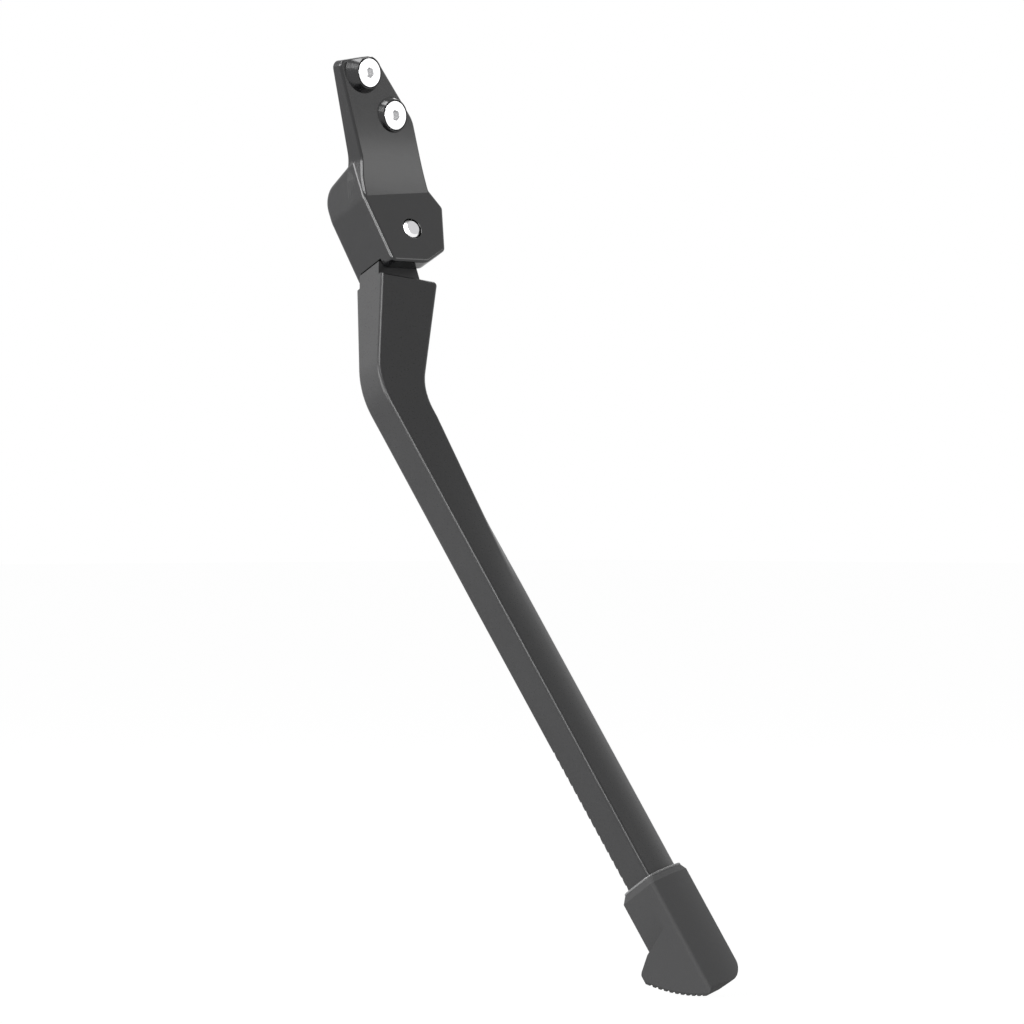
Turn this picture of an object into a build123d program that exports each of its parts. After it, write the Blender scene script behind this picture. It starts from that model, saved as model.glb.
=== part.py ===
from build123d import *
from math import atan2, cos, degrees, hypot, radians, sin, sqrt, tan
import os

# Bicycle kickstand, leg down. Millimetres, Z up, X to the rear of the bicycle, Y towards its wheel.
# The origin is midway between the two mounting screws, on the face that sits against the frame.

# Mounting plate and its two screws
screw_spacing = 18.0
screw_line_angle = 49.4
plate_face_yaw = 4.0
plate_thickness = 5.82
plate_face_slope = 0.08
plate_bend_height = -20.0
plate_depth_at_fold = 10.0
plate_front_top = (-16.0, 10.5)
plate_rear_top = (-0.5, 13.2)
plate_rear_shoulder = (14.45, -7.9)
plate_waist = (-8.5, -21.5)
plate_flank = (-9.0, -28.5)
plate_bottom = -36.5
plate_bottom_front = -8.5
plate_bottom_rear = 20.0
plate_corner_round = 2.5
plate_top_round = 5.0
plate_shoulder_round = 10.0
plate_flank_round = 12.0
plate_edge_round = 0.8
plate_back_round = 0.6
boss_top = 7.9
boss_root = 3.9
boss_radius = 5.45
boss_flare = 28.0
boss_inset = 0.25
screw_radius = 2.5
screw_neck_radius = 2.2
screw_head_radius = 4.8
screw_head_rim = 0.5
screw_head_sink = 0.15
screw_hex = 3.0
screw_hex_depth = 1.6
screw_reach = 6.0
screw_tip_chamfer = 0.6
screw_rim_clearance = 0.35
screw_seat_clearance = 0.02
screw_hole_clearance = 0.25

# Pivot: its axis leans up and out, and the leg swings square to it
pivot_x = 7.9
pivot_y = -4.65
pivot_z = -49.5
pin_tilt = 24.0
pin_yaw = 5.0
fold_angle = 85.0
pin_radius = 3.3
pin_proud = 0.5
pin_press_clearance = 0.01
pin_run_clearance = 0.05
pin_hole_chamfer = 0.45
pin_end_chamfer = 0.9
pin_flat_depth = 0.7
pin_flat_margin = 0.25

# Fork housing, outline points as (rearward, upward) from the pivot
slot_width = 12.0
front_cheek = 5.4
back_cheek = 3.4
housing_top = 23.5
housing_top_slope = 0.18
housing_back_round = 7.5
housing_side_round = 1.6
housing_edge_round = 1.1
cheek_low_front = (-11.7, -12.1)
cheek_low_rear = (3.2, -12.3)
cheek_chamfer_rear = (11.8, -7.6)
cheek_wide_rear = (15.8, 8.3)
cheek_fold_rear = (11.9, 14.7)
cheek_fold_front = (-16.7, 11.4)
housing_top_front = -17.2
housing_wall_round = 10.0
cheek_corner_round = 2.0
cheek_low_round = 5.0
knuckle_radius = 10.5
knuckle_clearance = 0.4
side_clearance = 0.3
web_drop = 9.5
stop_clearance = 0.4

# Leg: its root is given like the cheek points, and stations count down the straight run
root_front = (-14.8, -14.6)
root_rear = (7.8, -17.9)
root_corner_round = 1.4
upper_lean = 17.85
upper_length = 40.8
upper_rear_lean = 23.4
run_lean = 17.3
outer_bend_radius = 28.0
inner_bend_radius = 20.0
root_thickness = 15.8
leg_thickness = 12.2
taper_length = 36.0
taper_round = 150.0
neck_rear = 2.0
neck_sink = 6.0
leg_edge_round = 1.2
leg_back_round = 0.7
square_station = 19.0
square_width = 16.1
crown_station = 80.0
crown_radius = 37.5
crown_angle = 25.0
leg_end = 203.5
leg_end_chamfer = 0.6

# Rack of teeth along the back of the run
rack_start = 135.3
tooth_pitch = 3.1
tooth_depth = 0.8

# Detent in the top of the leg
detent_lean = 18.0
plunger_radius = 2.9
plunger_clearance = 0.08
plunger_length = 9.0
plunger_gap = 0.15
plunger_chamfer = 0.4
detent_depth = 34.0
detent_wire = 0.9
detent_turns = 4

# Shoe, with points given as (station, outward)
foot_wall = 2.5
foot_clearance = 0.3
foot_top = 187.6
foot_steps = 6
foot_floor_clearance = 0.8
foot_corner_round = 1.5
collar_height = 2.5
collar_inset = 1.2
collar_rise = 1.5
collar_corner_round = 2.4
sole_front = (229.0, 5.6)
sole_back = (215.9, -15.9)
sole_radius = 60.0
toe_station = 227.4
toe_rise = 0.1
toe_radius = 11.5
sole_edge_rise = 2.5
heel_crease = (203.5, 3.0)
heel_top = 208.0
heel_tip = (211.9, -15.0)
heel_proud = 0.7
heel_width = 13.0
heel_round = 1.2
rib_pitch = 2.35
rib_radius = 0.6
rib_count = 10

# Catch in the back of the shoe
latch_tooth = 19
latch_middle = 5.2
latch_width = 6.0
latch_clearance = 0.3
latch_face_gap = 0.35
latch_tip_gap = 0.13
latch_tooth_length = 2.0
latch_pivot_drop = 6.6
latch_pivot_depth = 2.0
latch_button_drop = 13.0
latch_inner = 0.65
latch_button_inner = 2.5
latch_outer = 3.4
latch_button_outer = 4.3
latch_floor = 0.8
latch_step = 1.6
latch_pin_radius = 0.8
latch_pin_clearance = 0.04
latch_pin_grip = 1.5
latch_round = 0.5
latch_window_rise = 0.7
latch_pad_proud = 1.2
latch_pad_margin = 1.8
latch_spring_drop = 10.8
latch_spring_radius = 1.1
latch_spring_seat = 1.0
latch_wire = 0.4
latch_turns = 2

# Far enough to pass clean through the stand
far = 60.0

# Limits for picking faces and edges by their direction and size
aligned = 0.9
level = 0.01

# Frame of the swing: x rearward, y upward, z outward along the pin
pin_axis = Vector(
    -sin(radians(pin_yaw)) * cos(radians(pin_tilt)),
    -cos(radians(pin_yaw)) * cos(radians(pin_tilt)),
    sin(radians(pin_tilt)),
)
rear_axis = Vector(cos(radians(pin_yaw)), -sin(radians(pin_yaw)), 0)
swing = Plane(origin=(pivot_x, pivot_y, pivot_z), x_dir=rear_axis, z_dir=pin_axis)
rise_axis = swing.y_dir
housing_side = Plane(origin=swing.origin, x_dir=pin_axis, z_dir=-rear_axis)

# Frame of the straight run: stations count from the corner of its front edge
bend_front = (
    root_front[0] - upper_length * sin(radians(upper_lean)),
    root_front[1] - upper_length * cos(radians(upper_lean)),
)
run_axis = rear_axis * sin(radians(run_lean)) - rise_axis * cos(radians(run_lean))
side_axis = rear_axis * cos(radians(run_lean)) + rise_axis * sin(radians(run_lean))
run_origin = swing.from_local_coords(Vector(bend_front[0], bend_front[1], 0))
flank = Plane(origin=run_origin, x_dir=run_axis, z_dir=-side_axis)
facing = Plane(origin=run_origin, x_dir=run_axis, z_dir=pin_axis)

# Sizes shared by pieces that fit each other
stop_level = -web_drop - stop_clearance
stop_front = root_front[0] + (stop_level - root_front[1]) * tan(radians(upper_lean))
screw_points = [
    (side * screw_spacing / 2 * cos(radians(screw_line_angle)),
     -side * screw_spacing / 2 * sin(radians(screw_line_angle)))
    for side in (-1, 1)
]
screw_head_top = screw_head_sink - boss_top
screw_cone_top = screw_head_top + screw_head_rim
half_slot = slot_width / 2
half_leg = leg_thickness / 2
front_reach = half_slot + front_cheek
back_reach = half_slot + back_cheek
detent_axis = -rear_axis * sin(radians(detent_lean)) - rise_axis * cos(radians(detent_lean))
plunger_top = pin_radius + plunger_gap
foot_offset = foot_wall + foot_clearance
foot_back = half_leg + foot_offset
foot_floor = leg_end + foot_steps * tooth_pitch + foot_floor_clearance
nose_radius = (half_leg - crown_radius * (1 - cos(radians(crown_angle)))) / cos(radians(crown_angle))
nose_centre = (crown_radius - nose_radius) * sin(radians(crown_angle))
latch_top = rack_start + latch_tooth * tooth_pitch + latch_face_gap
latch_pivot = (latch_top + latch_pivot_drop, -half_leg - latch_pivot_depth)
latch_end = latch_top + latch_button_drop
latch_low = latch_middle - latch_width / 2
latch_floor_back = half_leg + foot_clearance + latch_floor
spring_seat = (
    run_origin
    + run_axis * (latch_top + latch_spring_drop)
    + side_axis * latch_middle
    - pin_axis * (half_leg + latch_button_inner)
)

# Centre of the sole's rocking arc, and the turn over which its ribs are spread
sole_chord = (sole_front[0] - sole_back[0], sole_front[1] - sole_back[1])
sole_half = hypot(*sole_chord) / 2
sole_set = sqrt(sole_radius ** 2 - sole_half ** 2) / (2 * sole_half)
sole_centre = (
    (sole_front[0] + sole_back[0]) / 2 - sole_chord[1] * sole_set,
    (sole_front[1] + sole_back[1]) / 2 + sole_chord[0] * sole_set,
)
rib_turn = degrees(rib_pitch / sole_radius)
rib_span = rib_turn * rib_count
rib_start = degrees(atan2(sole_back[1] - sole_centre[1], sole_back[0] - sole_centre[0])) + rib_turn


def run_plane(station):
    return Plane(origin=run_origin + run_axis * station, x_dir=side_axis, z_dir=run_axis)


def collar_plane(station):
    """Plane across the run that rises towards the front of the shoe."""
    across = run_axis + pin_axis * (collar_rise / (2 * foot_back))
    return Plane(origin=run_origin + run_axis * (station - collar_rise / 2), x_dir=side_axis, z_dir=across)


def flank_plane(rearward):
    return Plane(origin=run_origin + side_axis * rearward, x_dir=run_axis, z_dir=-side_axis)


def run_point(rearward, station):
    """Point of the swing plane, measured from the front edge of the run."""
    return (
        bend_front[0] + rearward * cos(radians(run_lean)) + station * sin(radians(run_lean)),
        bend_front[1] + rearward * sin(radians(run_lean)) - station * cos(radians(run_lean)),
    )


def meet(point_a, lean_a, point_b, lean_b):
    """Where two lines of the swing plane cross, each leaning rearward on its way down."""
    slope_a = tan(radians(lean_a))
    slope_b = tan(radians(lean_b))
    height = (point_b[0] - point_a[0] + slope_b * point_b[1] - slope_a * point_a[1]) / (slope_b - slope_a)
    return (point_a[0] + slope_a * (point_a[1] - height), height)


def corner_arc(start, end, towards):
    """Quarter round between two points, bulging to the corner given."""
    middle = [
        (first + second) / 2 + (third - (first + second) / 2) * (sqrt(2) - 1)
        for first, second, third in zip(start, end, towards)
    ]
    ThreePointArc(start, tuple(middle), end)


def square_section(plane):
    """Rounded oblong of the leg where the bend ends."""
    rear = square_width - leg_edge_round
    with BuildSketch(plane) as section:
        with BuildLine():
            for side in (1, -1):
                face = side * half_leg
                Line((0, 0), (0, face - side * leg_edge_round))
                corner_arc((0, face - side * leg_edge_round), (leg_edge_round, face), (0, face))
                Line((leg_edge_round, face), (rear, face))
                corner_arc((rear, face), (square_width, face - side * leg_edge_round), (square_width, face))
                Line((square_width, face - side * leg_edge_round), (square_width, 0))
        make_face()
    return section.sketch


def crown_section(plane, grow, front_corner, back_corner):
    """D section: a flat front edge, two crowned faces and a round nose, all grown by one offset."""
    crown_low = half_leg - crown_radius
    outer = crown_radius + grow
    nose = nose_radius + grow
    turns = [radians(crown_angle + (90 - crown_angle) * share / 4) for share in range(5)]
    crown_middle = radians(crown_angle / 2)
    with BuildSketch(plane) as section:
        with BuildLine():
            for side, corner in ((1, front_corner), (-1, back_corner)):
                near = corner - grow
                high = side * (crown_low + sqrt(outer ** 2 - near ** 2))
                nose_points = [(nose_centre + nose * sin(turn), side * nose * cos(turn)) for turn in turns]
                Line((-grow, 0), (-grow, high - side * corner))
                corner_arc((-grow, high - side * corner), (near, high), (-grow, high))
                ThreePointArc(
                    (near, high),
                    (outer * sin(crown_middle), side * (crown_low + outer * cos(crown_middle))),
                    nose_points[0],
                )
                ThreePointArc(*nose_points[0:3])
                ThreePointArc(*nose_points[2:5])
        make_face()
    return section.sketch


def plate_outline(inset=0):
    with BuildSketch(Plane.XZ) as outline:
        with BuildLine():
            FilletPolyline(
                plate_front_top,
                plate_rear_top,
                plate_rear_shoulder,
                (plate_bottom_rear, plate_bottom),
                (plate_bottom_front, plate_bottom),
                plate_flank,
                plate_waist,
                radius=[plate_corner_round, plate_top_round, plate_shoulder_round, 0, 0,
                        plate_flank_round, plate_flank_round],
                close=True,
            )
        make_face()
        if inset:
            offset(amount=-inset, mode=Mode.REPLACE)
    return outline.sketch


# Mounting plate: outline cut from a wedge whose face sweeps out to the fold
with BuildPart() as plate:
    extrude(plate_outline(), amount=far)
    yaw = radians(plate_face_yaw)
    face_top = plate_rear_top[1] + plate_thickness
    with BuildSketch(Plane(origin=(0, 0, 0), x_dir=(sin(yaw), cos(yaw), 0), z_dir=(cos(yaw), -sin(yaw), 0))):
        with BuildLine():
            top = (plate_face_slope * face_top - plate_thickness, face_top)
            bend = (plate_face_slope * plate_bend_height - plate_thickness, plate_bend_height)
            fold = (-plate_depth_at_fold, plate_bottom)
            Line(top, bend)
            TangentArc(bend, fold, tangent=(-plate_face_slope, -1))
            Polyline(fold, (far, plate_bottom), (far, face_top), top)
        make_face()
    extrude(amount=far, both=True, mode=Mode.INTERSECT)
    plate_faces = plate.faces().filter_by(lambda face: face.normal_at().Y < -aligned)
    fillet(plate_faces.edges().filter_by(lambda edge: edge.bounding_box().size.Z > level), plate_edge_round)
    back_edges = plate.faces().sort_by(Axis.Y)[-1].edges()
    fillet(back_edges.filter_by(lambda edge: edge.bounding_box().size.Z > level), plate_back_round)

# Raised seats round the screws
with BuildPart() as bosses:
    for point in screw_points:
        with BuildSketch(Plane(origin=(point[0], -boss_top, point[1]), x_dir=(1, 0, 0), z_dir=(0, 1, 0))):
            Circle(boss_radius)
        extrude(amount=boss_top - boss_root, taper=-boss_flare)
    extrude(plate_outline(boss_inset), amount=boss_top, mode=Mode.INTERSECT)

# Fork housing: cheek outline across, humped top from the side
with BuildPart() as housing:
    outline_top = housing_top + front_reach
    with BuildSketch(swing):
        with BuildLine():
            FilletPolyline(
                cheek_low_front,
                cheek_low_rear,
                cheek_chamfer_rear,
                cheek_wide_rear,
                cheek_fold_rear,
                (cheek_fold_rear[0], outline_top),
                (housing_top_front, outline_top),
                cheek_fold_front,
                radius=[cheek_corner_round, cheek_low_round, cheek_corner_round, cheek_corner_round,
                        cheek_corner_round, 0, 0, housing_wall_round],
                close=True,
            )
        make_face()
    extrude(amount=far, both=True)
    with BuildSketch(housing_side):
        with BuildLine():
            FilletPolyline(
                (front_reach, -far),
                (front_reach, housing_top + housing_top_slope * front_reach),
                (-back_reach, housing_top - housing_top_slope * back_reach),
                (-back_reach, -far),
                radius=[0, 0, housing_back_round, 0],
                close=True,
            )
        make_face()
    extrude(amount=far, both=True, mode=Mode.INTERSECT)
    front_side = housing.faces().sort_by(Axis(swing.origin, rear_axis))[0]
    fillet(front_side.edges().sort_by(Axis(swing.origin, pin_axis))[0:3], housing_side_round)
    front_face = housing.faces().sort_by(Axis(swing.origin, pin_axis))[-1]
    fillet(front_face.edges(), housing_edge_round)

with BuildPart() as bracket:
    add(plate.part)
    add(bosses.part)
    add(housing.part)
    slot_round = knuckle_radius + knuckle_clearance
    with BuildSketch(swing):
        with BuildLine():
            Line((-slot_round, -web_drop), (-slot_round, 0))
            RadiusArc((-slot_round, 0), (0, slot_round), slot_round)
            Polyline(
                (0, slot_round),
                (far, slot_round),
                (far, -far),
                (-far, -far),
                (-far, -web_drop),
                (-slot_round, -web_drop),
            )
        make_face()
    extrude(amount=half_slot, both=True, mode=Mode.SUBTRACT)
    with BuildSketch(swing):
        Circle(pin_radius + pin_press_clearance)
    extrude(amount=far, both=True, mode=Mode.SUBTRACT)
    pin_rims = bracket.edges().filter_by(GeomType.CIRCLE)
    pin_rims = pin_rims.filter_by(lambda edge: abs(edge.radius - pin_radius - pin_press_clearance) < level)
    chamfer(pin_rims.sort_by(Axis(swing.origin, pin_axis))[-1], pin_hole_chamfer)
    for point in screw_points:
        seat = Plane(origin=(point[0], screw_cone_top, point[1]), z_dir=(0, -1, 0))
        with Locations(seat):
            CounterSinkHole(
                radius=screw_radius + screw_hole_clearance,
                counter_sink_radius=screw_head_radius + screw_seat_clearance,
                depth=far,
                counter_sink_angle=90,
            )
        with BuildSketch(seat):
            Circle(screw_head_radius + screw_rim_clearance)
        extrude(amount=boss_top, mode=Mode.SUBTRACT)
bracket.part.label = "bracket"

mount_screws = []
for name, point in zip(("upper", "lower"), screw_points):
    with BuildPart() as screw:
        with BuildSketch(Plane(origin=(point[0], 0, point[1]), x_dir=(1, 0, 0), z_dir=(0, 0, 1))):
            with BuildLine():
                Polyline(
                    (0, screw_head_top),
                    (screw_head_radius, screw_head_top),
                    (screw_head_radius, screw_cone_top),
                    (screw_neck_radius, screw_cone_top + screw_head_radius - screw_neck_radius),
                    (screw_neck_radius, screw_neck_radius - screw_radius),
                    (screw_radius, 0),
                    (screw_radius, screw_reach - screw_tip_chamfer),
                    (screw_radius - screw_tip_chamfer, screw_reach),
                    (0, screw_reach),
                    close=True,
                )
            make_face()
        revolve(axis=Axis((point[0], 0, point[1]), (0, 1, 0)))
        with BuildSketch(Plane(origin=(point[0], screw_head_top, point[1]), z_dir=(0, -1, 0))):
            RegularPolygon(radius=screw_hex / 2, side_count=6, major_radius=False)
        extrude(amount=-screw_hex_depth, mode=Mode.SUBTRACT)
    screw.part.label = f"mount_screw_{name}"
    mount_screws.append(screw)

# Pin with two flats for the detent, one for the leg down and one for the leg folded
with BuildPart() as pivot_pin:
    with BuildSketch(swing.offset(front_reach + pin_proud)):
        Circle(pin_radius)
    extrude(amount=-(front_reach + back_reach + 2 * pin_proud))
    chamfer(pivot_pin.edges().filter_by(GeomType.CIRCLE), pin_end_chamfer)
    for turn in (0, fold_angle):
        flat_axis = detent_axis.rotate(Axis((0, 0, 0), pin_axis), turn)
        flat_centre = swing.origin + flat_axis * (pin_radius - pin_flat_depth)
        with BuildSketch(Plane(origin=flat_centre, x_dir=pin_axis, z_dir=flat_axis)):
            Rectangle(2 * (plunger_radius + pin_flat_margin), 2 * pin_radius)
        extrude(amount=pin_radius, mode=Mode.SUBTRACT)
pivot_pin.part.label = "pivot_pin"

# Leg: tapered block below the fork, a bend, then a run that goes from square to crowned
with BuildPart() as leg:
    with BuildSketch(swing):
        with BuildLine():
            FilletPolyline(
                root_front,
                bend_front,
                run_point(0, square_station),
                run_point(square_width, square_station),
                meet(root_rear, -upper_rear_lean, run_point(square_width, square_station), run_lean),
                root_rear,
                radius=[0, outer_bend_radius, 0, 0, inner_bend_radius, root_corner_round],
                close=True,
            )
        make_face()
    extrude(amount=root_thickness, both=True)
    block_lean = radians((upper_lean + upper_rear_lean) / 2)
    block_rise = rear_axis * sin(block_lean) + rise_axis * cos(block_lean)
    block_top = swing.from_local_coords(Vector(root_front[0], root_front[1], 0))
    with BuildSketch(Plane(origin=block_top, x_dir=pin_axis, z_dir=pin_axis.cross(block_rise))):
        with BuildLine():
            flare = (root_thickness - leg_thickness) / (2 * taper_length) * (taper_length + root_thickness)
            FilletPolyline(
                (half_leg + flare, root_thickness),
                (half_leg, -taper_length),
                (half_leg, -2 * far),
                (-half_leg, -2 * far),
                (-half_leg, -taper_length),
                (-half_leg - flare, root_thickness),
                radius=[0, taper_round, 0, 0, taper_round, 0],
                close=True,
            )
        make_face()
    extrude(amount=far, both=True, mode=Mode.INTERSECT)
    block_sides = leg.faces().filter_by(
        lambda face: abs(face.normal_at().dot(pin_axis)) < level and face.normal_at().dot(run_axis) < aligned
    )
    block_edges = block_sides.edges().filter_by(lambda edge: abs((edge % 0.5).dot(pin_axis)) < 1 - aligned)
    fillet(block_edges, leg_edge_round)
    with BuildSketch(swing):
        Circle(knuckle_radius)
        with BuildLine():
            Polyline(
                (neck_rear, 0),
                (-knuckle_radius, 0),
                (-knuckle_radius, stop_level),
                (stop_front, stop_level),
                (root_front[0] - neck_sink * sin(radians(upper_lean)),
                 root_front[1] - neck_sink * cos(radians(upper_lean))),
                (neck_rear, root_rear[1] - neck_sink),
                close=True,
            )
        make_face()
    extrude(amount=half_slot - side_clearance, both=True)
    crown = crown_section(run_plane(crown_station), 0, leg_edge_round, leg_back_round)
    loft([square_section(run_plane(square_station)).face(), crown.face()], ruled=True)
    extrude(crown, amount=leg_end - crown_station)
    chamfer(leg.faces().sort_by(Axis(run_origin, run_axis))[-1].edges(), leg_end_chamfer)
    tooth_count = int((leg_end - rack_start) / tooth_pitch)
    teeth = [(rack_start, -half_leg - tooth_depth)]
    for index in range(tooth_count):
        teeth.append((rack_start + index * tooth_pitch, tooth_depth - half_leg))
        teeth.append((rack_start + (index + 1) * tooth_pitch, -half_leg))
    teeth.append((rack_start + tooth_count * tooth_pitch, -half_leg - tooth_depth))
    with BuildSketch(flank):
        with BuildLine():
            Polyline(*teeth, close=True)
        make_face()
    extrude(amount=far, both=True, mode=Mode.SUBTRACT)
    with BuildSketch(swing):
        Circle(pin_radius + pin_run_clearance)
    extrude(amount=root_thickness, both=True, mode=Mode.SUBTRACT)
    with BuildSketch(Plane(origin=swing.origin - detent_axis * 2 * knuckle_radius, z_dir=detent_axis)):
        Circle(plunger_radius + plunger_clearance)
    extrude(amount=detent_depth + 2 * knuckle_radius, mode=Mode.SUBTRACT)
leg.part.label = "leg"

with BuildPart() as detent_plunger:
    with BuildSketch(Plane(origin=swing.origin + detent_axis * plunger_top, z_dir=detent_axis)):
        Circle(plunger_radius)
    extrude(amount=plunger_length)
    chamfer(detent_plunger.edges().filter_by(GeomType.CIRCLE), plunger_chamfer)
detent_plunger.part.label = "detent_plunger"

with BuildPart() as detent_spring:
    spring_top = plunger_top + plunger_length + detent_wire / 2
    spring_length = detent_depth - spring_top - detent_wire / 2
    with BuildLine() as detent_coil:
        Helix(
            pitch=spring_length / detent_turns,
            height=spring_length,
            radius=plunger_radius - plunger_chamfer - detent_wire / 2,
            center=swing.origin + detent_axis * spring_top,
            direction=detent_axis,
        )
    with BuildSketch(Plane(origin=detent_coil.line @ 0, z_dir=detent_coil.line % 0)):
        RegularPolygon(radius=detent_wire / 2, side_count=6)
    sweep(path=detent_coil.line, is_frenet=True)
detent_spring.part.label = "detent_spring"

# Heel of the shoe: a wedge that leaves the side of the shoe and stands proud at the back
with BuildPart() as heel:
    with BuildSketch(flank):
        with BuildLine():
            FilletPolyline(
                heel_crease,
                (heel_top, -foot_back),
                heel_tip,
                (heel_tip[0] + heel_tip[1] - sole_back[1], sole_back[1]),
                (sole_front[0] + foot_wall, sole_back[1]),
                (sole_front[0] + foot_wall, heel_crease[1]),
                radius=[0, 0, heel_round, heel_round, 0, 0],
                close=True,
            )
        make_face()
    extrude(amount=far, both=True)
    with BuildSketch(run_plane(heel_crease[0])):
        with BuildLine():
            Polyline(
                (-foot_offset, heel_crease[1]),
                (-foot_offset - heel_proud, sole_back[1]),
                (heel_width - foot_offset, sole_back[1]),
                (heel_width - foot_offset, heel_crease[1]),
                close=True,
            )
        make_face()
    extrude(amount=far, both=True, mode=Mode.INTERSECT)

# Shoe: the leg's section grown all round, with a rocking sole
with BuildPart() as foot:
    cavity_top = foot_top - collar_rise - collar_height
    collar_grow = foot_offset - collar_inset
    collar = crown_section(collar_plane(foot_top), collar_grow, collar_corner_round, collar_corner_round)
    shell_plane = collar_plane(foot_top + collar_height)
    shell = crown_section(shell_plane, foot_offset, foot_corner_round, foot_corner_round)
    loft([collar.face(), shell.face()], ruled=True)
    extrude(shell, amount=sole_front[0] + foot_wall - foot_top, dir=run_axis)
    add(heel.part)
    with BuildSketch(flank_plane(latch_low - latch_pad_margin)):
        with BuildLine():
            Polyline(
                (latch_top - latch_pad_margin, -half_leg),
                (latch_top - latch_pad_margin, -foot_back),
                (latch_top - latch_pad_margin + latch_pad_proud, -foot_back - latch_pad_proud),
                (latch_end + latch_pad_margin, -foot_back - latch_pad_proud),
                (latch_end + latch_pad_margin, -half_leg),
                close=True,
            )
        make_face()
    extrude(amount=-(latch_width + 2 * latch_pad_margin))
    with BuildSketch(flank):
        with BuildLine():
            sole_arc = RadiusArc(sole_back, sole_front, -sole_radius)
            edge_end = (sole_front[0] - sole_edge_rise, foot_back)
            TangentArc(sole_front, edge_end, tangent=sole_arc % 1)
            Polyline(
                edge_end,
                (edge_end[0], far),
                (cavity_top, far),
                (cavity_top, -far),
                (sole_back[0], -far),
                sole_back,
            )
        make_face()
    extrude(amount=far, both=True, mode=Mode.INTERSECT)
    nose_reach = nose_centre + nose_radius + foot_offset
    with BuildSketch(facing):
        with BuildLine():
            FilletPolyline(
                (cavity_top, nose_reach),
                (toe_station, nose_reach),
                (toe_station + toe_rise * (nose_reach + far), -far),
                (cavity_top, -far),
                radius=[0, toe_radius, 0, 0],
                close=True,
            )
        make_face()
    extrude(amount=far, both=True, mode=Mode.INTERSECT)
    cavity = crown_section(
        run_plane(cavity_top),
        foot_clearance,
        leg_edge_round + foot_clearance,
        leg_back_round + foot_clearance,
    )
    extrude(cavity, amount=foot_floor - cavity_top, mode=Mode.SUBTRACT)
    with BuildSketch(flank_plane(latch_low - latch_clearance)):
        with BuildLine():
            Polyline(
                (latch_top - latch_window_rise, 0),
                (latch_top - latch_window_rise, -far),
                (latch_end + latch_clearance, -far),
                (latch_end + latch_clearance, -latch_floor_back),
                (latch_pivot[0] + latch_step + latch_clearance, -latch_floor_back),
                (latch_pivot[0] + latch_step + latch_clearance, 0),
                close=True,
            )
        make_face()
    extrude(amount=-(latch_width + 2 * latch_clearance), mode=Mode.SUBTRACT)
    with BuildSketch(flank_plane(latch_low - latch_pin_grip)):
        with Locations(latch_pivot):
            Circle(latch_pin_radius + pin_press_clearance)
    extrude(amount=-(latch_width + 2 * latch_pin_grip), mode=Mode.SUBTRACT)
    with BuildSketch(flank):
        with Locations(sole_centre):
            with PolarLocations(sole_radius, rib_count, rib_start, rib_span):
                Circle(rib_radius)
    extrude(amount=far, both=True, mode=Mode.SUBTRACT)
foot.part.label = "foot"

# Catch: a rocker whose tooth drops into the rack and whose other end is pressed to free it
with BuildPart() as foot_latch:
    tooth_low = latch_top + latch_tooth_length
    ramp = tooth_depth * (latch_face_gap + latch_tooth_length) / tooth_pitch
    tip = -half_leg + tooth_depth - latch_tip_gap
    with BuildSketch(flank_plane(latch_low)):
        with BuildLine():
            FilletPolyline(
                (latch_top, tip),
                (tooth_low, tip - ramp),
                (tooth_low, -half_leg - latch_inner),
                (latch_pivot[0] + latch_step, -half_leg - latch_inner),
                (latch_pivot[0] + latch_step, -half_leg - latch_button_inner),
                (latch_end, -half_leg - latch_button_inner),
                (latch_end, -half_leg - latch_button_outer),
                (latch_pivot[0] + latch_step, -half_leg - latch_button_outer),
                (latch_pivot[0], -half_leg - latch_outer),
                (latch_top, -half_leg - latch_outer),
                radius=[0, 0, 0, 0, 0, 0, latch_round, latch_round, latch_round, latch_round],
                close=True,
            )
        make_face()
    extrude(amount=-latch_width)
    with BuildSketch(flank_plane(latch_low)):
        with Locations(latch_pivot):
            Circle(latch_pin_radius + latch_pin_clearance)
    extrude(amount=-latch_width, mode=Mode.SUBTRACT)
    seat_bottom = spring_seat - pin_axis * latch_spring_seat
    with BuildSketch(Plane(origin=seat_bottom, x_dir=run_axis, z_dir=pin_axis)):
        Circle(latch_spring_radius + latch_clearance)
    extrude(amount=latch_spring_seat, mode=Mode.SUBTRACT)
foot_latch.part.label = "foot_latch"

with BuildPart() as latch_pin:
    with BuildSketch(flank_plane(latch_low - latch_pin_grip)):
        with Locations(latch_pivot):
            Circle(latch_pin_radius)
    extrude(amount=-(latch_width + 2 * latch_pin_grip))
latch_pin.part.label = "latch_pin"

with BuildPart() as latch_spring:
    latch_spring_length = half_leg + latch_button_inner + latch_spring_seat - latch_floor_back - latch_wire
    with BuildLine() as latch_coil:
        Helix(
            pitch=latch_spring_length / latch_turns,
            height=latch_spring_length,
            radius=latch_spring_radius - latch_wire / 2,
            center=spring_seat + pin_axis * (latch_wire / 2 - latch_spring_seat),
            direction=pin_axis,
        )
    with BuildSketch(Plane(origin=latch_coil.line @ 0, z_dir=latch_coil.line % 0)):
        RegularPolygon(radius=latch_wire / 2, side_count=6)
    sweep(path=latch_coil.line, is_frenet=True)
latch_spring.part.label = "latch_spring"

pieces = [
    bracket,
    *mount_screws,
    pivot_pin,
    leg,
    detent_plunger,
    detent_spring,
    foot,
    foot_latch,
    latch_pin,
    latch_spring,
]
os.makedirs("parts", exist_ok=True)
for piece in pieces:
    export_step(piece.part, f"parts/{piece.part.label}.step")
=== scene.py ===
import math

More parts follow.
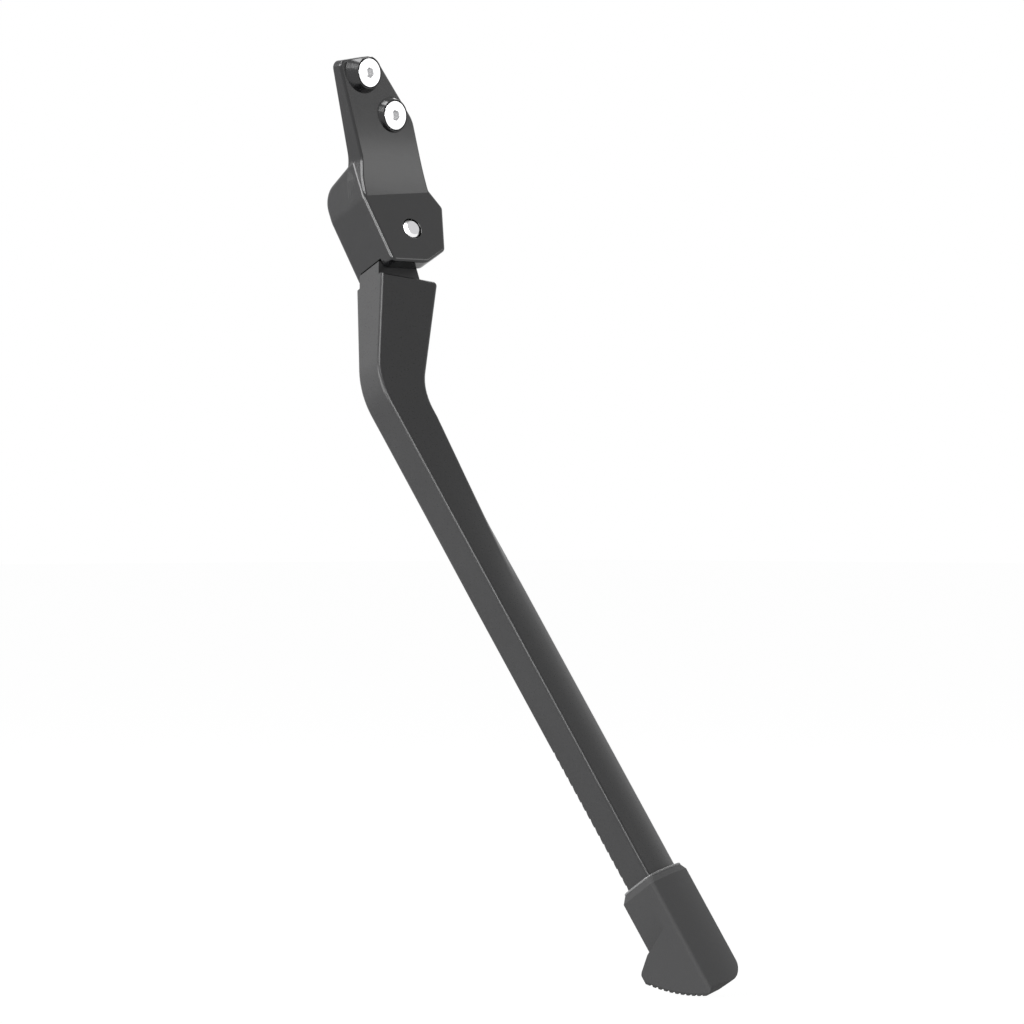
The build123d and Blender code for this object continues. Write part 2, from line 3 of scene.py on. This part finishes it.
import bpy
import numpy as np
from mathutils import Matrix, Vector


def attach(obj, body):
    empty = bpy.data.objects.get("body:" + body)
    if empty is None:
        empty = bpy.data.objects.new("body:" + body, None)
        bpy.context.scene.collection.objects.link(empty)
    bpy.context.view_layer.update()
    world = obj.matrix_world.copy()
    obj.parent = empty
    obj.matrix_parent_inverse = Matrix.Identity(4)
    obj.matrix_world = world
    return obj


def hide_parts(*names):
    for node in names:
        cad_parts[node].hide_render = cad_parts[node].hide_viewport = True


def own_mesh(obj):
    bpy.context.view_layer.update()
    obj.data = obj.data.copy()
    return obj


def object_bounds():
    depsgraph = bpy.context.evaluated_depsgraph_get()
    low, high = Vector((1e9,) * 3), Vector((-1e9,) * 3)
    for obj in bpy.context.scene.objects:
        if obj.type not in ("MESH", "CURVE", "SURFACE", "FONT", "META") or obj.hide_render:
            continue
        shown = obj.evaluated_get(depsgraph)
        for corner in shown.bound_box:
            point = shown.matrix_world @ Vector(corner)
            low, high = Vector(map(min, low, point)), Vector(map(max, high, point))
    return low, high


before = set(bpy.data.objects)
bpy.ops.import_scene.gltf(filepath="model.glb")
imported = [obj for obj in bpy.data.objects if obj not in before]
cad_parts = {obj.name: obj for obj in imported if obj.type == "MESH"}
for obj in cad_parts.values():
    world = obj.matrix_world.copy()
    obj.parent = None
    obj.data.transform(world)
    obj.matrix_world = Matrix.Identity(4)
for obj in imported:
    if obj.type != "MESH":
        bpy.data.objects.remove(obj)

scene = bpy.context.scene
millimetre = 0.001  # the scene is in metres, and new pieces are worked out in millimetres
cadBox = [list(corner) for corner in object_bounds()]
print("frame loaded:", len(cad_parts), "nodes")

# A point on the pivot pin's axis, and the directions in which the bracket and leg are built
standLook = {
    "pivot": (0.0079, -0.00465, -0.0495),
    "pinAxis": (-0.07962, -0.91007, 0.40674),  # along the pin, away from the wheel
    "runAxis": (0.26240, -0.41278, -0.87222),  # down the leg
    "sideAxis": (0.96167, 0.03728, 0.27167),  # across the leg
    "riseAxis": (0.03545, 0.40519, 0.91355),  # up the housing, square to the pin
    "upAxis": (0.0, 0.0, 1.0),
    "wheelAxis": (0.0, 1.0, 0.0),  # through the plate, towards the wheel
}


# One socket of a shader tree, so that shading maths reads as plain sums
class Wire:
    def __init__(self, shader, socket):
        self.shader = shader
        self.socket = socket

    def combine(self, operation, *values):
        return self.shader.node("ShaderNodeMath", {"operation": operation}, dict(enumerate(values)))

    def __add__(self, other):
        return self.combine("ADD", self, other)

    def __radd__(self, other):
        return self.combine("ADD", other, self)

    def __sub__(self, other):
        return self.combine("SUBTRACT", self, other)

    def __rsub__(self, other):
        return self.combine("SUBTRACT", other, self)

    def __mul__(self, other):
        return self.combine("MULTIPLY", self, other)

    def __rmul__(self, other):
        return self.combine("MULTIPLY", other, self)

    def root(self):
        return self.combine("SQRT", self)

    def clamp(self):
        return self.combine("MINIMUM", self.combine("MAXIMUM", self, 0.0), 1.0)

    # Sine between 0 and 1, with a crest in every pitch
    def wave(self, pitch):
        return self.combine("SINE", self * (2 * math.pi / pitch)) * 0.5 + 0.5

    # Dot product, which is the vector node's second output
    def along(self, axis):
        return self.shader.node("ShaderNodeVectorMath", {"operation": "DOT_PRODUCT"}, {0: self, 1: axis}, 1)


# A shader tree under construction: node() makes any node, its settings first and then its sockets
class Shader:
    def __init__(self, owner, outputKind):
        owner.use_nodes = True
        self.tree = owner.node_tree
        self.tree.nodes.clear()
        self.output = self.tree.nodes.new(outputKind)

    def node(self, kind, settings=None, sockets=None, out=0):
        made = self.tree.nodes.new(kind)
        for key, value in (settings or {}).items():
            setattr(made, key, value)
        for key, value in (sockets or {}).items():
            if isinstance(value, Wire):
                self.tree.links.new(value.socket, made.inputs[key])
            else:
                made.inputs[key].default_value = value
        return Wire(self, made.outputs[out])

    def finish(self, surface):
        self.tree.links.new(surface.socket, self.output.inputs["Surface"])

    def place(self):
        return self.node("ShaderNodeTexCoord", None, None, "Object")

    # Place measured from a point of the stand
    def placeFrom(self, point):
        return self.node("ShaderNodeVectorMath", {"operation": "SUBTRACT"}, {0: self.place(), 1: point})

    # Distance from a line through a point
    def radius(self, point, axis):
        place = self.placeFrom(point)
        depth = place.along(axis)
        return (place.along(place) - depth * depth).clamp().root()

    def noise(self, scale, detail=2.0, rough=0.5):
        sockets = {"Vector": self.place(), "Scale": scale, "Detail": detail, "Roughness": rough}
        return self.node("ShaderNodeTexNoise", None, sockets)

    # A value that wanders to both sides of its middle, as the noise does
    def wander(self, middle, spread, noise):
        return middle + spread * (noise - 0.5)

    # Sockets 6 and 7 and output 2 are the Mix node's colours
    def blend(self, factor, first, second):
        first, second = [value if isinstance(value, Wire) else (*value, 1.0) for value in (first, second)]
        return self.node("ShaderNodeMix", {"data_type": "RGBA"}, {"Factor": factor, 6: first, 7: second}, 2)

    def mix(self, factor, first, second):
        return self.node("ShaderNodeMixShader", None, {0: factor, 1: first, 2: second})

    # Principled surface with a fine bump over the normal under it; a look's sockets are set as they stand
    def surface(self, look, colour, roughness, height, under=None):
        fine = {"Height": height, **look["bump"]}
        if under:
            fine["Normal"] = under
        bump = self.node("ShaderNodeBump", None, fine)
        sockets = {"Base Color": colour, "Roughness": roughness, "Normal": bump, **look["sockets"]}
        return self.node("ShaderNodeBsdfPrincipled", None, sockets)

    # Whatever looks straight at the stage or mirrors it
    def seen(self):
        rays = [self.node("ShaderNodeLightPath", None, None, name)
                for name in ("Is Camera Ray", "Is Glossy Ray", "Is Transmission Ray")]
        return (rays[0] + rays[1] + rays[2]).clamp()


def newFinish(name):
    material = bpy.data.materials.new(name)
    return material, Shader(material, "ShaderNodeOutputMaterial")


bracketLook = {
    "dark": (0.009, 0.009, 0.010),
    "light": (0.013, 0.013, 0.014),
    "sockets": {"Specular IOR Level": 0.55},
    "roughness": 0.18,
    "roughnessSpread": 0.06,
    "patchScale": 180.0,  # soft patches where the coat flowed
    "patchDetail": 3.0,
    "grainScale": 2600.0,
    "bump": {"Strength": 0.05, "Distance": 0.0002},
    # colour of the painted shadow round the pin and along the lower edge of the wall over the leg
    "paintedShadow": (0.003, 0.003, 0.003),
    "pinShadowRadius": 0.00372,
    "shadowSharpness": 12000.0,
    "sweepStart": -0.026,  # the plate's face goes on bending a little above this height
    "sweepEase": 0.008,
    "sweepBend": 0.275,
    "edgeHeight": -0.00885,  # top of the painted shadow band along the lower edge of the wall over the leg, where the gap to the leg falls in shade
    "edgeHalf": 0.0060,
    "edgeSharpness": 1.0e6,
}


def makeBracketCoat(look):
    material, shader = newFinish("black_gloss_coat")
    patches = shader.noise(look["patchScale"], look["patchDetail"])
    grain = shader.noise(look["grainScale"])
    colour = shader.blend(patches, look["dark"], look["light"])
    roughness = shader.wander(look["roughness"], look["roughnessSpread"], patches)
    rise = (shader.place().along(standLook["upAxis"]) - look["sweepStart"]).clamp()
    bend = (rise * rise + look["sweepEase"] ** 2).root()  # level below the start, then an even slope
    sweep = shader.node("ShaderNodeBump", None, {"Distance": look["sweepBend"], "Height": bend})
    coat = shader.surface(look, colour, roughness, grain, sweep)
    shadowSurface = shader.node("ShaderNodeBsdfDiffuse", None, {"Color": (*look["paintedShadow"], 1.0)})
    radius = shader.radius(standLook["pivot"], standLook["pinAxis"])
    paintedShadow = ((look["pinShadowRadius"] - radius) * look["shadowSharpness"]).clamp()  # painted shadow round the pin, where the gap at its hole falls in shade
    place = shader.placeFrom(standLook["pivot"])
    depth = place.along(standLook["pinAxis"])
    # painted shadow in a band along the wall's lower edge over the leg
    low = ((look["edgeHeight"] - place.along(standLook["riseAxis"])) * look["shadowSharpness"]).clamp()
    within = ((look["edgeHalf"] ** 2 - depth * depth) * look["edgeSharpness"]).clamp()
    # painted shadow: a dark matt surface mixed over the coat round the pin and along the wall's lower edge
    shader.finish(shader.mix((paintedShadow + low * within).clamp(), coat, shadowSurface))
    return material


legLook = {
    "dark": (0.041, 0.041, 0.042),
    "light": (0.048, 0.048, 0.049),
    "sockets": {"Specular IOR Level": 0.28},
    "roughness": 0.28,
    "roughnessSpread": 0.04,
    "patchScale": 90.0,
    "grainScale": 2200.0,  # fine blasted grain under the anodising
    "bump": {"Strength": 0.03, "Distance": 0.0002},
}


def makeLegCoat(look):
    material, shader = newFinish("black_satin_anodise")
    patches = shader.noise(look["patchScale"])
    grain = shader.noise(look["grainScale"])
    colour = shader.blend(patches, look["dark"], look["light"])
    roughness = shader.wander(look["roughness"], look["roughnessSpread"], grain)
    shader.finish(shader.surface(look, colour, roughness, grain))
    return material


footLook = {
    "dark": (0.019, 0.019, 0.020),
    "light": (0.027, 0.027, 0.028),
    "sockets": {"Specular IOR Level": 0.6},
    "roughness": 0.75,
    "roughnessSpread": 0.12,
    "grainScale": 2600.0,
    "grainDetail": 3.0,
    "grainRough": 0.6,
    "bump": {"Strength": 0.20, "Distance": 0.0002},
    "creaseStart": (0.031962, -0.110652, -0.274592),  # where the heel's wedge leaves the wall
    "creaseUp": (-0.21727, 0.70799, 0.67197),
    "creaseReach": 0.014,
    "creaseSharpness": 6000.0,
    "creaseEnd": 0.0015,
    "creaseFade": 400.0,
    # painted shade on the wall above the heel's crease, and its colour
    "creaseShade": 0.38,
    "creaseShadeColour": (0.0, 0.0, 0.0),
    "soleCentre": (0.022008, -0.118157, -0.238324),  # middle of the sole's rocking arc
    "soleRadius": 0.0590,
    "soleSharpness": 8000.0,
    # colour of the painted shade on the downward-facing tread
    "sole": (0.003, 0.003, 0.003),
}


def makeFootPlastic(look):
    material, shader = newFinish("black_grained_plastic")
    grain = shader.noise(look["grainScale"], look["grainDetail"], look["grainRough"])
    colour = shader.blend(grain, look["dark"], look["light"])
    place = shader.placeFrom(look["creaseStart"])
    above = place.along(look["creaseUp"])
    near = (1.0 - above * (1.0 / look["creaseReach"])).clamp()
    side = ((look["creaseEnd"] - place.along(standLook["pinAxis"])) * look["creaseFade"]).clamp()
    shade = (above * look["creaseSharpness"]).clamp() * near * near * side  # painted soft shade on the wall above the heel's crease
    colour = shader.blend(shade * look["creaseShade"], colour, look["creaseShadeColour"])
    reach = shader.radius(look["soleCentre"], standLook["sideAxis"])
    soleShadeMask = ((reach - look["soleRadius"]) * look["soleSharpness"]).clamp()  # painted shade on the tread under the wall, which faces down
    colour = shader.blend(soleShadeMask, colour, look["sole"])
    roughness = shader.wander(look["roughness"], look["roughnessSpread"], grain)
    shader.finish(shader.surface(look, colour, roughness, grain))
    return material


catchLook = {
    "dark": (0.011, 0.011, 0.012),
    "light": (0.018, 0.018, 0.019),
    "sockets": {"Specular IOR Level": 0.5},
    "roughness": 0.45,
    "grainScale": 2600.0,
    "grainDetail": 3.0,
    "grainRough": 0.6,
    "grainShare": 0.1,  # beside the height of the ribs
    "ribPitch": 0.0011,
    "bump": {"Strength": 0.6, "Distance": 0.0003},
}


def makeCatchPlastic(look):
    material, shader = newFinish("ribbed_catch_plastic")
    grain = shader.noise(look["grainScale"], look["grainDetail"], look["grainRough"])
    ribs = shader.place().along(standLook["runAxis"]).wave(look["ribPitch"])  # grip lines across the thumb
    colour = shader.blend(grain, look["dark"], look["light"])
    shader.finish(shader.surface(look, colour, look["roughness"], ribs + grain * look["grainShare"]))
    return material


steelLook = {
    "base": (0.58, 0.58, 0.59),
    "light": (0.70, 0.70, 0.70),
    "sockets": {"Metallic": 1.0},
    "roughness": 0.22,
    "roughnessSpread": 0.10,
    "grainScale": 1500.0,
    "bump": {"Strength": 0.04, "Distance": 0.0002},
    "thread": (0.22, 0.22, 0.23),  # the cut thread behind the plate is duller
    "threadSharpness": 3000.0,
    "threadRoughness": 0.15,
}


def makeBrightSteel(look):
    material, shader = newFinish("plated_steel")
    grain = shader.noise(look["grainScale"])
    plated = shader.blend(grain, look["base"], look["light"])
    behind = (shader.place().along(standLook["wheelAxis"]) * look["threadSharpness"]).clamp()
    colour = shader.blend(behind, plated, look["thread"])
    smooth = shader.wander(look["roughness"], look["roughnessSpread"], grain)
    shader.finish(shader.surface(look, colour, smooth + look["threadRoughness"] * behind, grain))
    return material


pinLook = {
    "sawn": (0.60, 0.60, 0.61),  # the flat end
    "turned": (0.93, 0.93, 0.93),  # the bright cone and flank round it
    "sockets": {"Metallic": 1.0},
    "endRadius": 0.00238,
    "endSharpness": 9000.0,
    "roughness": 0.22,
    "ringRoughness": 0.06,
    "ringPitch": 0.00022,
    "bump": {"Strength": 0.05, "Distance": 0.00005},
}


def makeTurnedSteel(look):
    material, shader = newFinish("turned_steel")
    radius = shader.radius(standLook["pivot"], standLook["pinAxis"])
    rings = radius.wave(look["ringPitch"])  # lathe marks round the pin's axis
    outer = ((radius - look["endRadius"]) * look["endSharpness"]).clamp()
    colour = shader.blend(outer, look["sawn"], look["turned"])
    shader.finish(shader.surface(look, colour, look["roughness"] + rings * look["ringRoughness"], rings))
    return material


def dress(names, material):
    for name in names:
        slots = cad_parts[name].data.materials
        slots.clear()
        slots.append(material)


boltSteel = makeBrightSteel(steelLook)
dress(["bracket"], makeBracketCoat(bracketLook))
dress(["leg"], makeLegCoat(legLook))
dress(["foot"], makeFootPlastic(footLook))
dress(["foot_latch"], makeCatchPlastic(catchLook))
dress(["pivot_pin", "latch_pin"], makeTurnedSteel(pinLook))
dress(["detent_plunger", "detent_spring"], boltSteel)
print("finishes on")


def addObject(name, data):
    made = bpy.data.objects.new(name, data)
    scene.collection.objects.link(made)
    return made


# Quads between neighbouring rings, closed round each ring; a looped grid's last ring meets its first,
# and any other has a cap at each end
def ringMesh(name, grid, looped=False):
    rows, columns = grid.shape[:2]
    index = np.arange(rows * columns).reshape(rows, columns)
    turned = np.roll(index, -1, axis=1)
    quads = np.stack([index, np.roll(index, -1, axis=0), np.roll(turned, -1, axis=0), turned], axis=-1)
    caps = []
    if not looped:
        quads = quads[:-1]
        caps = [index[0].tolist(), index[-1][::-1].tolist()]
    mesh = bpy.data.meshes.new(name)
    mesh.from_pydata(grid.reshape(-1, 3).tolist(), [], quads.reshape(-1, 4).tolist() + caps)
    mesh.validate()
    return mesh


# Countersunk screws with a hexagon socket and a cut thread, in millimetres along their axis
screwLook = {
    "places": {"mount_screw_upper": (-5.857, 6.834), "mount_screw_lower": (5.857, -6.834)},
    "headTop": -8.1,
    "headRadius": 4.8,
    "headRim": 0.5,
    "headEdge": 0.12,
    "edgeSteps": ((2.0, 0.0), (0.6, 0.25), (0.0, 1.0)),  # inwards and down, in shares of the head's edge
    "socketAcross": 3.15,
    "socketTurn": 15.0,
    "socketDepth": 1.6,
    "socketLip": 0.15,
    "closing": 0.02,  # each end closes on a ring this small
    "neckRadius": 2.2,
    "threadStart": 0.05,
    "threadEnd": 6.0,
    "threadRadius": 2.48,
    "threadDepth": 0.42,
    "threadPitch": 0.8,
    "threadFade": 0.6,
    "crestFlat": 1.3,  # above 1, which cuts the tops of the crests flat
    "around": 96,
    "threadRows": 120,
}


# Rings carried along the axis: each ring is a circle, a hexagon in the socket, or a circle that
# swells and shrinks with a saw wave of (depth / pitch - turn), which winds into the thread
def screwSurface(look, place):
    turn = np.linspace(0.0, 2 * np.pi, look["around"], endpoint=False)
    sixth = (turn - math.radians(look["socketTurn"]) + np.pi / 6) % (np.pi / 3) - np.pi / 6
    hexagon = look["socketAcross"] / 2 / np.cos(sixth)
    circle = np.ones_like(turn)
    top, rim, edge = look["headTop"], look["headRim"], look["headEdge"]
    head, neck = look["headRadius"], look["neckRadius"]
    rows = [
        (hexagon * look["closing"], top + look["socketDepth"]),
        (hexagon, top + look["socketDepth"]),
        (hexagon, top + look["socketLip"]),
        (hexagon + look["socketLip"], top),
        *[(circle * (head - inwards * edge), top + down * edge) for inwards, down in look["edgeSteps"]],
        (circle * head, top + rim),
        (circle * neck, top + rim + head - neck),
    ]
    depth = np.linspace(look["threadStart"], look["threadEnd"], look["threadRows"])
    phase = (depth[:, None] / look["threadPitch"] - turn[None, :] / (2 * np.pi)) % 1.0
    crest = np.clip(look["crestFlat"] * (1.0 - np.abs(2.0 * phase - 1.0)), 0.0, 1.0)
    inside = np.minimum(depth - look["threadStart"], look["threadEnd"] - depth)
    fade = np.clip(inside / look["threadFade"], 0.0, 1.0)[:, None]  # runs out at both ends
    outer = look["threadRadius"] - look["threadDepth"] * (1.0 - fade)
    thread = outer - look["threadDepth"] * fade * (1.0 - crest)
    radius = np.vstack([row[0][None, :] for row in rows] + [thread, look["closing"] * circle[None, :]])
    along = np.concatenate([[row[1] for row in rows], depth, [look["threadEnd"]]])
    grid = np.empty((*radius.shape, 3))
    grid[..., 0] = place[0] + radius * np.cos(turn)
    grid[..., 1] = along[:, None]
    grid[..., 2] = place[1] + radius * np.sin(turn)
    return grid * millimetre


def makeScrews(look, material):
    for node, place in look["places"].items():
        mesh = ringMesh(node + "_threaded", screwSurface(look, place))
        mesh.materials.append(material)
        piece = addObject(node + "_threaded", mesh)
        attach(piece, "bracket_body")
        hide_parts(node)


makeScrews(screwLook, boltSteel)
print("screws cut")

# Rounded lip round the mouth of the shoe's collar, in millimetres across the leg
lipLook = {
    "middle": (27.832, -101.049, -261.290),
    "facing": (0.254785, -0.487739, -0.834982),
    "halfThickness": 6.1,
    "crownRadius": 37.5,
    "crownAngle": 25.0,
    "grow": 1.6,
    "corner": 2.4,
    "bead": 0.42,
    "sunk": 0.16,
    "steps": 24,
    "around": 12,
    # the lip's pale colour is a painted highlight along the collar's rounded edge
    "dark": (0.19, 0.19, 0.192),
    "light": (0.24, 0.24, 0.242),
    "sockets": {},
    "roughness": 0.34,
    "roughnessSpread": 0.1,
    "grainScale": 1800.0,
    "bump": {"Strength": 0.05, "Distance": 0.0002},
}


# One half of the collar's outline: a straight side, a quarter round, the crown's arc and the nose's arc;
# the other half is its mirror image
def collarOutline(look):
    steps = np.linspace(0.0, 1.0, look["steps"], endpoint=False)
    half, crown, angle = look["halfThickness"], look["crownRadius"], math.radians(look["crownAngle"])
    grow, corner = look["grow"], look["corner"]
    noseRadius = (half - crown * (1 - math.cos(angle))) / math.cos(angle)
    noseMiddle = (crown - noseRadius) * math.sin(angle)
    low, outer, nose = half - crown, crown + grow, noseRadius + grow
    near = corner - grow
    high = low + math.sqrt(outer ** 2 - near ** 2)
    bowStart = math.asin(near / outer)
    quarter = steps * np.pi / 2
    bow = bowStart + steps * (angle - bowStart)
    tip = angle + steps * (np.pi / 2 - angle)
    across = np.concatenate([
        np.full_like(steps, -grow),
        near - corner * np.cos(quarter),
        outer * np.sin(bow),
        noseMiddle + nose * np.sin(tip),
    ])
    up = np.concatenate([
        steps * (high - corner),
        high - corner + corner * np.sin(quarter),
        low + outer * np.cos(bow),
        nose * np.cos(tip),
    ])
    across = np.concatenate([across, [noseMiddle + nose], across[:0:-1]])
    up = np.concatenate([up, [0.0], -up[:0:-1]])
    return across, up


# A small circle carried round the outline, which bulges outwards and towards the mouth
def lipSurface(look):
    across, up = collarOutline(look)
    facing = np.array(look["facing"])
    sideAxis = np.array(standLook["sideAxis"])
    upAxis = np.cross(facing, sideAxis)
    path = np.array(look["middle"]) + across[:, None] * sideAxis + up[:, None] * upAxis
    run = np.roll(path, -1, axis=0) - np.roll(path, 1, axis=0)
    outward = np.cross(facing, run)
    outward /= np.linalg.norm(outward, axis=1)[:, None]
    turn = np.linspace(0.0, 2 * np.pi, look["around"], endpoint=False)
    ring = outward[:, None, :] * np.cos(turn)[None, :, None] + facing * np.sin(turn)[None, :, None]
    return (path[:, None, :] - look["sunk"] * outward[:, None, :] + look["bead"] * ring) * millimetre


# lip finish much paler than the shoe: a painted highlight
def makeLipHighlight(look):
    material, shader = newFinish("lip_painted_highlight")
    grain = shader.noise(look["grainScale"])
    colour = shader.blend(grain, look["dark"], look["light"])
    roughness = shader.wander(look["roughness"], look["roughnessSpread"], grain)
    shader.finish(shader.surface(look, colour, roughness, grain))
    return material


def makeLip(look):
    mesh = ringMesh("collar_lip", lipSurface(look), looped=True)
    mesh.materials.append(makeLipHighlight(look))
    mesh.shade_smooth()
    piece = addObject("collar_lip", mesh)
    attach(piece, "foot_body")


makeLip(lipLook)
print("collar lip on")

# Coil under the catch's button, in millimetres
springLook = {
    "floor": (38.2607, -101.9390, -278.9419),
    "length": 2.0,
    "turns": 2,
    "coilRadius": 0.9,
    "wireRadius": 0.19,
    "keep": 0.66,
    "steps": 73,
    "around": 10,
}


# A small circle carried down a helix, from the shoe's floor into the button
def springSurface(look):
    share = np.linspace(0.0, 1.0, look["steps"])
    turn = 2 * np.pi * look["turns"] * share
    run, side, pin = [np.array(standLook[name]) for name in ("runAxis", "sideAxis", "pinAxis")]
    radial = np.cos(turn)[:, None] * run + np.sin(turn)[:, None] * side
    depth = look["wireRadius"] + look["length"] * share
    path = np.array(look["floor"]) + look["coilRadius"] * radial - depth[:, None] * pin
    around = np.linspace(0.0, 2 * np.pi, look["around"], endpoint=False)
    ring = radial[:, None, :] * np.cos(around)[None, :, None] + pin * np.sin(around)[None, :, None]
    return (path[:, None, :] + look["wireRadius"] * ring) * millimetre


def makeSpring(look, material):
    mesh = ringMesh("latch_spring_coil", springSurface(look))
    mesh.materials.append(material)
    mesh.shade_smooth()
    piece = addObject("latch_spring_coil", mesh)
    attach(piece, "foot_body")
    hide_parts("latch_spring")
    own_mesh(piece)


makeSpring(springLook, boltSteel)
print("catch spring wound")

floorLook = {
    "gap": 0.0005,  # below the shoe
    "reach": 12.0,
    "pale": (0.9, 0.9, 0.9),
    "white": (1.0, 1.0, 1.0),
    "whiteShare": 0.9,  # the rest keeps a faint shadow
    "whiteStrength": 1.09,
}


def makeFloor(look):
    reach, height = look["reach"], cadBox[0][2] - look["gap"]
    corners = [(x * reach, y * reach, height) for x, y in ((-1, -1), (1, -1), (1, 1), (-1, 1))]
    mesh = bpy.data.meshes.new("floor")
    mesh.from_pydata(corners, [], [(0, 1, 2, 3)])
    floor = addObject("floor", mesh)
    material, shader = newFinish("pale_floor")
    matt = shader.node("ShaderNodeBsdfDiffuse", None, {"Color": (*look["pale"], 1.0)})
    glow = {"Color": (*look["white"], 1.0), "Strength": look["whiteStrength"]}
    white = shader.node("ShaderNodeEmission", None, glow)
    shader.finish(shader.mix(shader.seen() * look["whiteShare"], matt, white))
    mesh.materials.append(material)


makeFloor(floorLook)

worldLook = {"colour": (1.0, 1.0, 1.0), "seen": 1.0, "ambient": 0.08}


def makeWorld(look):
    world = bpy.data.worlds.new("studio")
    scene.world = world
    shader = Shader(world, "ShaderNodeOutputWorld")
    plain, white = [
        shader.node("ShaderNodeBackground", None, {"Color": (*look["colour"], 1.0), "Strength": look[name]})
        for name in ("ambient", "seen")
    ]
    shader.finish(shader.mix(shader.seen(), plain, white))


makeWorld(worldLook)

# Each lamp: the direction it stands in, its distance, width, height and watts
lampLook = {
    "left": ((-0.93, 0.30, 0.22), 2.5, 2.4, 1.3, 76.0),
    "behind": ((-0.25, 0.93, 0.28), 1.6, 1.4, 1.4, 1.2),
    "frontRight": ((0.60, -0.78, 0.17), 1.6, 0.9, 0.9, 4.5),
    "right": ((0.95, 0.20, 0.25), 1.8, 0.6, 0.6, 0.3),
    "highRight": ((0.69, 0.25, 0.70), 1.8, 0.5, 0.5, 4.0),
    "card": ((-0.77, -0.61, 0.25), 1.8, 1.0, 0.8, 26.0),
    "highCard": ((-0.52, -0.13, 0.84), 1.8, 0.9, 0.9, 26.0),
}
reflectedOnly = ["card", "highCard"]  # pale cards, which only show in edges and polished faces


def makeLamps(look):
    middle = Vector(cadBox[0]).lerp(Vector(cadBox[1]), 0.5)
    for name, (direction, distance, width, height, watts) in look.items():
        data = bpy.data.lights.new(name, "AREA")
        data.shape = "RECTANGLE"
        data.size = width
        data.size_y = height
        data.energy = watts
        lamp = addObject(name, data)
        lamp.visible_diffuse = name not in reflectedOnly
        lamp.location = middle + Vector(direction).normalized() * distance
        lamp.rotation_euler = (middle - lamp.location).to_track_quat("-Z", "Y").to_euler()


makeLamps(lampLook)

cameraLook = {
    "place": (-1.28776, -1.40832, -0.13971),
    "azimuth": -43.904,
    "lens": 200.0,
    "sensor": 36.0,
    "reach": 100.0,
}


def makeCamera(look):
    data = bpy.data.cameras.new("camera")
    data.lens = look["lens"]
    data.sensor_width = look["sensor"]
    data.sensor_fit = "HORIZONTAL"
    data.clip_end = look["reach"]
    camera = addObject("camera", data)
    camera.location = look["place"]
    camera.rotation_euler = (math.pi / 2, 0.0, math.radians(look["azimuth"]))
    scene.camera = camera


makeCamera(cameraLook)
scene.view_settings.view_transform = "Standard"
print("stage set")
